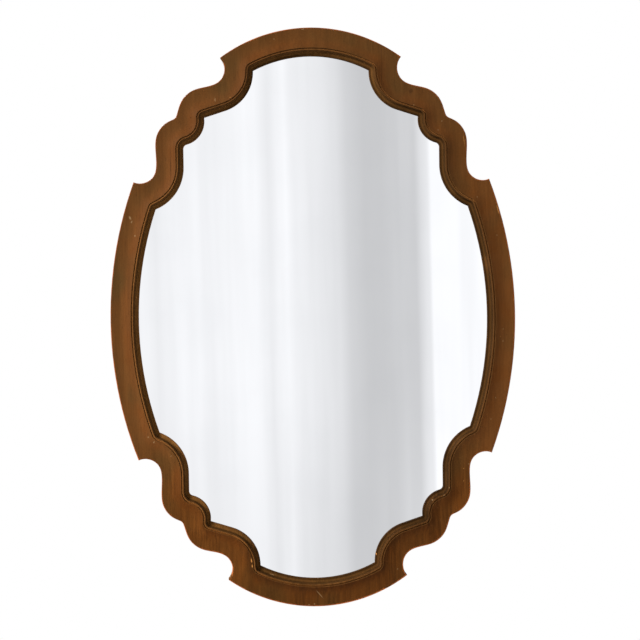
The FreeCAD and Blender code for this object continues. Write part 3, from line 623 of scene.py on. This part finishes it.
def makeMarks(name, marks):
    # Soft-edged ovals, broken up by noise
    group, given, result = newGroup(name, {"Softness": 0.55}, ("Mask",))
    here = place(group)
    ragged = noise(group, here, markEdges["ragged"], roughness=0.6)
    lumpy = noise(group, here, markEdges["lumpy"], detail=2.0)
    nearest = None
    for x, z, halfWidth, halfHeight, turn in marks:
        node = put(group, "ShaderNodeMapping", vector_type="TEXTURE")
        feed(group, node.inputs["Vector"], here)
        node.inputs["Location"].default_value = (x, 0.0, z)
        node.inputs["Rotation"].default_value = (0.0, math.radians(turn), 0.0)
        node.inputs["Scale"].default_value = (halfWidth, 1.0, halfHeight)
        flat = vectorCalc(group, "MULTIPLY", node.outputs[0], (1.0, 0.0, 1.0))
        away = vectorCalc(group, "LENGTH", flat)
        nearest = away if nearest is None else calc(group, "MINIMUM", nearest, away)
    broken = times(group, plus(group, ragged, lumpy), markEdges["raggedness"])
    softEnd = plus(group, given["Softness"], markEdges["rim"])
    mask = ease(group, plus(group, nearest, broken), softEnd, markEdges["rim"])
    group.links.new(mask, result["Mask"])
    return group


# The frame's wood

wood = {
    "warm": (0.150, 0.0545, 0.0138, 1),
    "olive": (0.100, 0.047, 0.0130, 1),
    "red": (0.145, 0.0450, 0.0085, 1),
    "recess": (0.101, 0.0430, 0.0103, 1),
    # Bead top: rubbed wood with a painted highlight
    "beadRubAndHighlight": (0.172, 0.070, 0.019, 1),
    "footWarmth": (1.0, 0.94, 0.72, 1),
    "pore": (0.045, 0.018, 0.006, 1),
    "glue": (0.030, 0.013, 0.005, 1),
    "bare": (0.42, 0.27, 0.13, 1),
    "chip": (0.47, 0.20, 0.05, 1),
    "wornEdge": (0.36, 0.100, 0.024),
    "rawBack": (0.30, 0.165, 0.075),
    "cloudScale": 30.0,
    "speckScale": 700.0,
    "specksInClouds": (0.55, 0.72, 0.0, 0.30),
    "edgeWidth": 0.95,
    "broadPatches": (13.0, 13.0, 8.0),
    # Heights in metres between which the foot and the crown of the frame begin
    "foot": (-0.36, -0.50),
    "crown": (0.02, 0.24),
}

boards = {
    "joints": (-0.247, -0.123, 0.123, 0.247),
    "jointSpread": 0.018,
    # Brightness and redness of each board from left to right, above and below the middle
    "upperTones": (1.00, 0.98, 0.93, 0.845, 0.89),
    "lowerTones": (1.00, 0.96, 0.755, 0.66, 0.89),
    "upperReds": (0.15, 0.05, 0.25, 0.05, 0.35),
    "lowerReds": (0.15, 0.40, 0.60, 0.15, 0.35),
    "glueHalfWidth": (0.0006, 0.00015),
    "gluePatches": {"scale": 9.0, "show": (0.50, 0.66, 0.10, 0.8)},
}

# How the stain varies: across (x) and up (z) in metres, or with a noise or mask from 0 to 1
stain = {
    "redClouds": (0.42, 0.66, 0.0, 0.45),
    "oliveAcross": (0.0, 0.28, 0.38, 0.12),
    "oliveAtFoot": (0.0, 1.0, 1.0, 0.4),
    "oliveAtCrown": (-0.02, 0.12, 0.0, 0.38),
    "olivePatches": (0.48, 0.68, 0.0, 0.55),
    "recessClouds": (0.3, 0.6, 0.8, 1.0),
    "beadClouds": (0.3, 0.65, 0.35, 0.85),
    "footTone": (0.0, 1.0, 1.0, 0.84),
    "figureTone": (0.30, 0.72, 0.90, 1.10),
    "fibreTone": (0.25, 0.75, 0.90, 1.10),
    "streakSpace": ((34.0, 20.0, 9.0), (0.3, 0.0, 0.1)),
    "streakPatches": (0.38, 0.64, 0.25, 1.0),
    "streakDepth": (0.0, 1.0, 0.14, 0.50),
    "streakShow": (0.30, 0.70, -0.5, 0.5),
    "poreDarkness": 0.40,
    "warmthInRecess": (0.0, 1.0, 1.0, 0.2),
}

# Painted light and shade: each part of the moulding is made darker (below 0) or lighter (above 0),
# by amounts that change across and up the frame with how the light falls there
mouldingLightAndShade = {
    # Painted shade in the recess: slight on the left, full towards the right where the key light
    # reaches the cove
    "recess": -0.62,
    "recessAcross": (-0.05, 0.30, 0.13, 1.0),
    # Painted shade on the rim of the scoop: most at the foot, a little on the right and at the
    # crown
    "rimAtFoot": (-0.44, -0.60, 0.0, 0.34),
    "rimAcross": (0.10, 0.30, 0.0, 0.08),
    "rimBelow": (0.05, -0.05),
    "rimAtCrown": 0.10,
    # Painted light on the lip: much lighter on the left and lower left where it lies in shade, a
    # little on the right
    "lipAcross": (-0.27, -0.10, 1.25, 0.62),
    "lipAtRight": (0.12, 0.28, 0.0, 0.26),
    "lipAtFoot": (-0.15, 0.1, 0.34, -0.02),
    # Painted light and shade on the bead: darker on the left and at the crown, lighter on the
    # right
    "beadAcross": (-0.25, 0.28, -0.20, 0.28),
    "beadAtCrown": -0.46,
    # Painted shade at the sight edge: a dark line at the glass, lighter on the left
    "sightEdgeAcross": (-0.27, -0.05, 0.25, -0.35),
    "shadowLine": -0.35,
    # Painted light in the quirk, lifting the shade the groove casts on itself
    "quirk": 1.4,
}

edgeShadowAndWear = {
    # A painted shadow line beside the outer edge, and the edge's real wear
    "reach": 0.0055,
    "samples": 6,
    "jointGap": (0.8, 1.2),
    # How far the rounded normal turns from the true one: just inside the edge, and on it
    "edgeShadowLine": (0.9997, 0.965),
    "darkness": -0.30,
    "bareLine": (0.93, 0.85),
    "bareReach": (0.0012, 0.0004),
    "patchScale": 34.0,
    "patches": (0.34, 0.60, 0.45, 1.0),
    "brightAcross": (-0.3, 0.3, 1.0, 1.5),
    "brightAtFoot": (0.0, 1.0, 1.0, 1.7),
}

rawBack = {
    "bareness": (0.36, 0.60, 0.55, 0.95),
    "fibreTone": (0.3, 0.7, 0.8, 1.15),
}

# Softness, strength and colour of each kind of mark
markKinds = {
    "darkDents": (darkDents, 0.8, 0.55, "pore"),
    "paleScuffs": (paleScuffs, 0.7, 0.50, "bare"),
    "orangeChips": (orangeChips, 0.35, 0.85, "chip"),
}

woodSurface = {
    "specular": 0.035,
    "roughness": (0.3, 0.7, 0.42, 0.56),
    "poreRoughness": 0.2,
    "wornRoughness": -0.08,
    "recessRoughness": 0.35,
    "backRoughness": 0.25,
    "chipDepth": 2.0,
    "glueDepth": 0.8,
    "reliefDepth": 0.00008,
}


def boardTone(tree, x, tones):
    # Passes from one board's tone to the next at the glue joints
    total = tones[0]
    for joint, before, after in zip(boards["joints"], tones, tones[1:]):
        spread = boards["jointSpread"]
        past = ease(tree, x, joint - spread, joint + spread)
        total = plus(tree, times(tree, past, after - before), total)
    return total


def boardSteps(tree, where, isUpper, rows):
    upper, lower = (boardTone(tree, where["X"], boards[row]) for row in rows)
    return plus(tree, times(tree, calc(tree, "SUBTRACT", upper, lower), isUpper), lower)


def nearestJoint(tree, where):
    nearest = None
    for joint in boards["joints"]:
        away = calc(tree, "ABSOLUTE", calc(tree, "SUBTRACT", where["X"], joint))
        nearest = away if nearest is None else calc(tree, "MINIMUM", nearest, away)
    return nearest


def glueLines(tree, here, where):
    line = ease(tree, nearestJoint(tree, where), *boards["glueHalfWidth"])
    patches = noise(tree, here, boards["gluePatches"]["scale"], detail=2.0)
    return times(tree, line, ease(tree, patches, *boards["gluePatches"]["show"]))


def stainColour(tree, here, where, spots, clouds, broad, recess, foot, isUpper):
    # Warm brown with soft olive and red patches, a little different on every board
    redness = boardSteps(tree, where, isUpper, ("upperReds", "lowerReds"))
    redPatch = calc(tree, "ADD", ease(tree, clouds, *stain["redClouds"]), redness, clamp=True)
    colour = blendColours(tree, redPatch, wood["warm"], wood["red"])
    onLand = times(tree, ease(tree, where["X"], *stain["oliveAcross"]),
                   ease(tree, foot, *stain["oliveAtFoot"]))
    onLand = largest(tree, onLand, ease(tree, where["Z"], *stain["oliveAtCrown"]))
    olive = calc(tree, "ADD", ease(tree, broad, *stain["olivePatches"]),
                 times(tree, spots["Land"], onLand), clamp=True)
    colour = blendColours(tree, olive, colour, wood["olive"])
    colour = blendColours(tree, recess, colour, wood["recess"])
    # Bead top lighter: rubbed wood and a painted highlight
    rubbed = times(tree, spots["Bead"], ease(tree, clouds, *stain["beadClouds"]))
    return blendColours(tree, rubbed, colour, wood["beadRubAndHighlight"])


def grainTone(tree, here, where, grain, foot, isUpper):
    # Brightness from the boards, the figure and fibres, and streaks that are strong at the foot
    patches = noise(tree, stretched(tree, here, *stain["streakSpace"]), detail=2.0)
    depth = times(tree, ease(tree, patches, *stain["streakPatches"]),
                  ease(tree, foot, *stain["streakDepth"]))
    streaks = times(tree, ease(tree, grain["Streaks"], *stain["streakShow"]), depth)
    return times(tree, boardSteps(tree, where, isUpper, ("upperTones", "lowerTones")),
                 ease(tree, foot, *stain["footTone"]),
                 ease(tree, grain["Figure"], *stain["figureTone"]),
                 ease(tree, grain["Fibre"], *stain["fibreTone"]),
                 plus(tree, streaks, 1.0))


def paintedLightAndShade(tree, where, tone, spots, recess, foot):
    # Painted light and shade on each part of the moulding, set by where it sits on the frame
    crown = ease(tree, where["Z"], *wood["crown"])
    # Painted shade on the rim, strongest at the foot
    onRim = largest(tree, ease(tree, where["Z"], *mouldingLightAndShade["rimAtFoot"]),
                    times(tree, ease(tree, where["X"], *mouldingLightAndShade["rimAcross"]),
                          ease(tree, where["Z"], *mouldingLightAndShade["rimBelow"])),
                    times(tree, crown, mouldingLightAndShade["rimAtCrown"]))
    # Painted light on the lip
    lipLight = plus(tree, ease(tree, where["X"], *mouldingLightAndShade["lipAcross"]),
                 ease(tree, where["X"], *mouldingLightAndShade["lipAtRight"]),
                 times(tree, foot, ease(tree, where["X"], *mouldingLightAndShade["lipAtFoot"])))
    # Painted light and shade on the bead
    onBead = plus(tree, ease(tree, where["X"], *mouldingLightAndShade["beadAcross"]),
                  times(tree, crown, mouldingLightAndShade["beadAtCrown"]))
    # Painted shade in the recess, growing towards the right
    recessShade = times(tree, ease(tree, where["X"], *mouldingLightAndShade["recessAcross"]), mouldingLightAndShade["recess"])
    changes = (
        (recess, recessShade), (spots["Lip"], lipLight),
        # Painted shade at the sight edge
        (spots["Sight Edge"], ease(tree, where["X"], *mouldingLightAndShade["sightEdgeAcross"])),
        (spots["Shadow Line"], mouldingLightAndShade["shadowLine"]), (spots["Bead"], onBead),
        # Painted light in the quirk
        (spots["Quirk"], mouldingLightAndShade["quirk"]), (spots["Rim"], times(tree, onRim, -1.0)))
    for mask, strength in changes:
        tone = times(tree, tone, plus(tree, times(tree, mask, strength), 1.0))
    return tone


def edgeMasks(tree, where, spots):
    # A painted shadow line just inside the outer edge, and the edge itself, rubbed down to warmer
    # wood
    geometry = put(tree, "ShaderNodeNewGeometry")
    rounded = put(tree, "ShaderNodeBevel", samples=edgeShadowAndWear["samples"])
    rounded.inputs["Radius"].default_value = edgeShadowAndWear["reach"]
    along = vectorCalc(tree, "DOT_PRODUCT", rounded.outputs["Normal"], geometry.outputs["Normal"])
    gapStart, gapEnd = (edgeShadowAndWear["reach"] * share for share in edgeShadowAndWear["jointGap"])
    onBoard = times(tree, ease(tree, nearestJoint(tree, where), gapStart, gapEnd), spots["Land"])
    edgeShadowLine = times(tree, ease(tree, along, *edgeShadowAndWear["edgeShadowLine"]), onBoard)
    bareLine = times(tree, ease(tree, along, *edgeShadowAndWear["bareLine"]), onBoard)
    bareLine = times(tree, bareLine, below(tree, spots["Recess"], 0.5))
    reachStart, reachEnd = (moulding["arrisDepth"] + reach for reach in edgeShadowAndWear["bareReach"])
    bareLine = times(tree, bareLine, ease(tree, where["Y"], reachStart, reachEnd))
    return edgeShadowLine, largest(tree, spots["Arris"], bareLine)


def makeFrameWood():
    material, tree = newMaterial("frameWood")
    here = place(tree)
    where = split(tree, here)
    grain = useGroup(tree, grainGroup, **{"Fibre Scale": 1.0, "Figure Scale": 1.0})
    dust = useGroup(tree, dustGroup, **{"Cloud Scale": wood["cloudScale"],
                                        "Speck Scale": wood["speckScale"]})
    spots = useGroup(tree, makeMouldingMasks(), **{"Edge Width": wood["edgeWidth"]})
    clouds = dust["Clouds"]
    broad = noise(tree, stretched(tree, here, wood["broadPatches"]), detail=2.0)
    isUpper = above(tree, where["Z"], moulding["middleHeight"])
    foot = ease(tree, where["Z"], *wood["foot"])
    recess = times(tree, spots["Recess"], ease(tree, clouds, *stain["recessClouds"]))

    colour = stainColour(tree, here, where, spots, clouds, broad, recess, foot, isUpper)
    tone = grainTone(tree, here, where, grain, foot, isUpper)
    tone = paintedLightAndShade(tree, where, tone, spots, recess, foot)
    edgeShadowLine, edge = edgeMasks(tree, where, spots)
    # Painted shadow line just inside the outer edge
    tone = times(tree, tone, plus(tree, times(tree, edgeShadowLine, edgeShadowAndWear["darkness"]), 1.0))
    colour = scaled(tree, colour, tone)
    warmed = times(tree, foot, ease(tree, recess, *stain["warmthInRecess"]))
    colour = blendColours(tree, warmed, colour, wood["footWarmth"], "MULTIPLY")
    pores = times(tree, grain["Pores"], stain["poreDarkness"])
    colour = blendColours(tree, pores, colour, wood["pore"])
    glue = glueLines(tree, here, where)
    colour = blendColours(tree, glue, colour, wood["glue"])

    patches = noise(tree, here, edgeShadowAndWear["patchScale"], roughness=0.6)
    worn = times(tree, edge, ease(tree, patches, *edgeShadowAndWear["patches"]))
    bright = ease(tree, where["X"], *edgeShadowAndWear["brightAcross"])
    wornColour = scaled(tree, wood["wornEdge"], bright)
    wornColour = scaled(tree, wornColour, ease(tree, foot, *edgeShadowAndWear["brightAtFoot"]))
    colour = blendColours(tree, worn, colour, wornColour)

    # The back is bare wood, with stain run over its edges
    bareness = times(tree, spots["Back"], ease(tree, broad, *rawBack["bareness"]))
    rawTone = times(tree, tone, ease(tree, grain["Fibre"], *rawBack["fibreTone"]))
    colour = blendColours(tree, bareness, colour, scaled(tree, wood["rawBack"], rawTone))

    onFront = without(tree, spots["Back"])
    masks = {}
    for name, (marks, softness, strength, shade) in markKinds.items():
        masks[name] = useGroup(tree, makeMarks(name, marks), Softness=softness)["Mask"]
        amount = times(tree, masks[name], strength, onFront)
        colour = blendColours(tree, amount, colour, wood[shade])
    specks = times(tree, dust["Specks"], ease(tree, clouds, *wood["specksInClouds"]))
    colour = blendColours(tree, specks, colour, wood["bare"])

    look = woodSurface
    rough = plus(tree, ease(tree, clouds, *look["roughness"]),
                 times(tree, grain["Pores"], look["poreRoughness"]),
                 times(tree, worn, look["wornRoughness"]),
                 times(tree, recess, look["recessRoughness"]))
    bareRough = times(tree, bareness, look["backRoughness"])
    rough = calc(tree, "ADD", rough, bareRough, clamp=True)
    sunk = plus(tree, times(tree, masks["orangeChips"], look["chipDepth"]),
                times(tree, glue, look["glueDepth"]))
    height = calc(tree, "SUBTRACT", grain["Height"], sunk)
    surface(tree, {"Specular IOR Level": look["specular"]},
            Base_Color=colour, Roughness=rough, Normal=relief(tree, height, look["reliefDepth"]))
    return material


# Mirror glass

mirrorLook = {
    "silver": ((0.962, 0.964, 0.968, 1), (0.944, 0.947, 0.952, 1)),
    "backPaint": ((0.10, 0.12, 0.13, 1), (0.17, 0.19, 0.20, 1)),
    "backLean": (0.75, 0.85),
    "cloudScale": 9.0,
    "speckScale": 260.0,
    "hazeShow": (0.4, 0.7),
    "smear": (0.45, 0.75, 0.008, 0.03),
    "backRoughness": 0.5,
    "waveScale": 7.0,
    "waveDepth": 0.00002,
}


def makeMirror():
    look = mirrorLook
    material, tree = newMaterial("silveredGlass")
    clouds = useGroup(tree, dustGroup, **{"Cloud Scale": look["cloudScale"],
                                          "Speck Scale": look["speckScale"]})["Clouds"]
    normal = split(tree, put(tree, "ShaderNodeNewGeometry").outputs["True Normal"])
    isBack = ease(tree, normal["Y"], *look["backLean"])
    paint = blendColours(tree, clouds, *look["backPaint"])
    silver = blendColours(tree, ease(tree, clouds, *look["hazeShow"]), *look["silver"])
    wavy = noise(tree, place(tree), look["waveScale"], detail=1.0, roughness=0.4)
    rough = plus(tree, ease(tree, clouds, *look["smear"]),
                 times(tree, isBack, look["backRoughness"]))
    surface(tree, {"Metallic": 1.0},
            Base_Color=blendColours(tree, isBack, silver, paint), Roughness=rough,
            Normal=relief(tree, wavy, look["waveDepth"]))
    return material


# Hardboard backing

hardboardLook = {
    "fibre": ((0.115, 0.062, 0.030, 1), (0.255, 0.155, 0.083, 1)),
    "blotch": (0.30, 0.19, 0.105, 1),
    "fleck": (0.42, 0.30, 0.18, 1),
    "specular": 0.2,
    "fibreStretch": (520.0, 520.0, 900.0),
    "fleckStretch": (300.0, 300.0, 1100.0),
    "fleckShow": (0.60, 0.70),
    "fleckStrength": 0.55,
    "blotchScale": 12.0,
    "blotchShow": (0.35, 0.7, 0.0, 0.28),
    "screenPitch": 0.0017,  # the pressed screen pattern of the rough side
    "screenHeight": 0.3,
    "roughness": (0.3, 0.7, 0.68, 0.86),
    "reliefDepth": 0.00016,
}


def makeHardboard():
    look = hardboardLook
    material, tree = newMaterial("hardboard")
    here = place(tree)
    where = split(tree, here)
    fibres = noise(tree, stretched(tree, here, look["fibreStretch"]), roughness=0.65)
    blotch = noise(tree, here, look["blotchScale"])
    flecks = noise(tree, stretched(tree, here, look["fleckStretch"]), detail=2.0, roughness=0.6)
    flecks = times(tree, ease(tree, flecks, *look["fleckShow"]), look["fleckStrength"])
    colour = blendColours(tree, fibres, *look["fibre"])
    colour = blendColours(tree, ease(tree, blotch, *look["blotchShow"]), colour, look["blotch"])
    colour = blendColours(tree, flecks, colour, look["fleck"])
    waves = [calc(tree, "SINE", times(tree, where[axis], math.tau / look["screenPitch"]))
             for axis in ("X", "Z")]
    height = plus(tree, times(tree, plus(tree, *waves), look["screenHeight"]), fibres)
    surface(tree, {"Specular IOR Level": look["specular"]},
            Base_Color=colour, Roughness=ease(tree, fibres, *look["roughness"]),
            Normal=relief(tree, height, look["reliefDepth"]))
    return material


# Metal: clips, screws, hanger straps and rings

metals = {
    "zincSheet": {
        "bright": (0.50, 0.50, 0.49, 1), "dull": (0.31, 0.31, 0.305, 1),
        "stain": (0.24, 0.21, 0.17, 1), "roughness": 0.36},
    "yellowZinc": {
        "bright": (0.56, 0.42, 0.19, 1), "dull": (0.38, 0.27, 0.11, 1),
        "stain": (0.22, 0.15, 0.08, 1), "roughness": 0.30},
    "brightZinc": {
        "bright": (0.57, 0.57, 0.56, 1), "dull": (0.37, 0.37, 0.365, 1),
        "stain": (0.27, 0.25, 0.21, 1), "roughness": 0.30},
    "ringWire": {
        "bright": (0.58, 0.57, 0.55, 1), "dull": (0.38, 0.375, 0.36, 1),
        "stain": (0.27, 0.24, 0.20, 1), "roughness": 0.26},
}

metalWear = {
    "specular": 0.5,
    "cloudScale": 160.0,
    "speckScale": 1500.0,
    "stains": (0.52, 0.72, 0.0, 0.7),
    "lines": (0.3, 0.7),
    "lineRoughness": 0.14,
    "stainRoughness": 0.2,
    "stainMetallic": (0.0, 1.0, 1.0, 0.75),
    "scratchDepth": 0.00002,
}


def makeMetal(name):
    look = metals[name]
    material, tree = newMaterial(name)
    scratch = useGroup(tree, scratchGroup, Scale=1.0)
    dust = useGroup(tree, dustGroup, **{"Cloud Scale": metalWear["cloudScale"],
                                        "Speck Scale": metalWear["speckScale"]})
    stained = ease(tree, dust["Clouds"], *metalWear["stains"])
    colour = blendColours(tree, scratch["Lines"], look["dull"], look["bright"])
    colour = blendColours(tree, stained, colour, look["stain"])
    lines = ease(tree, scratch["Lines"], *metalWear["lines"],
                 look["roughness"], look["roughness"] + metalWear["lineRoughness"])
    rough = calc(tree, "ADD", lines, times(tree, stained, metalWear["stainRoughness"]), clamp=True)
    surface(tree, {"Specular IOR Level": metalWear["specular"]},
            Base_Color=colour, Metallic=ease(tree, stained, *metalWear["stainMetallic"]),
            Roughness=rough, Normal=relief(tree, scratch["Height"], metalWear["scratchDepth"]))
    return material


# Rubber: wall bumpers, setting blocks and shims

rubberLook = {
    "black": ((0.020, 0.019, 0.018, 1), (0.048, 0.046, 0.043, 1)),
    "dust": (0.16, 0.15, 0.14, 1),
    "dustStrength": 0.4,
    "specular": 0.35,
    "cloudScale": 300.0,
    "speckScale": 2200.0,
    "roughness": (0.3, 0.7, 0.55, 0.78),
    "reliefDepth": 0.00008,
}


def makeRubber():
    look = rubberLook
    material, tree = newMaterial("darkRubber")
    dust = useGroup(tree, dustGroup, **{"Cloud Scale": look["cloudScale"],
                                        "Speck Scale": look["speckScale"]})
    colour = blendColours(tree, dust["Clouds"], *look["black"])
    specks = times(tree, dust["Specks"], look["dustStrength"])
    colour = blendColours(tree, specks, colour, look["dust"])
    surface(tree, {"Specular IOR Level": look["specular"]},
            Base_Color=colour, Roughness=ease(tree, dust["Clouds"], *look["roughness"]),
            Normal=relief(tree, dust["Clouds"], look["reliefDepth"]))
    return material


# Dowels

dowelLook = {
    "wood": ((0.36, 0.22, 0.11, 1), (0.60, 0.42, 0.24, 1)),
    "specular": 0.3,
    "fibreStretch": (40.0, 900.0, 900.0),
    "roughness": (0.3, 0.7, 0.5, 0.65),
    "reliefDepth": 0.0001,
}


def makeDowelWood():
    look = dowelLook
    material, tree = newMaterial("dowelWood")
    fibre = noise(tree, stretched(tree, place(tree), look["fibreStretch"]), roughness=0.6)
    surface(tree, {"Specular IOR Level": look["specular"]},
            Base_Color=blendColours(tree, fibre, *look["wood"]),
            Roughness=ease(tree, fibre, *look["roughness"]),
            Normal=relief(tree, fibre, look["reliefDepth"]))
    return material


rubber = makeRubber()
finishes = {
    # part of a piece's name: its material
    "_board": makeFrameWood(),
    "joint_dowels": makeDowelWood(),
    "mirror_glass": makeMirror(),
    "backing_panel": makeHardboard(),
    "retaining_clip": makeMetal("zincSheet"),
    "_screws": makeMetal("yellowZinc"),
    "_strap": makeMetal("brightZinc"),
    "_ring": makeMetal("ringWire"),
    "_bumper": rubber,
    "setting_blocks": rubber,
    "side_shims": rubber,
}


def finishFor(name):
    for part, material in finishes.items():
        if part in name:
            return material
    raise KeyError(name)


for name, node in nodes.items():
    node.data.materials.clear()
    node.data.materials.append(finishFor(name))
print("finishes on", len(nodes), "pieces")
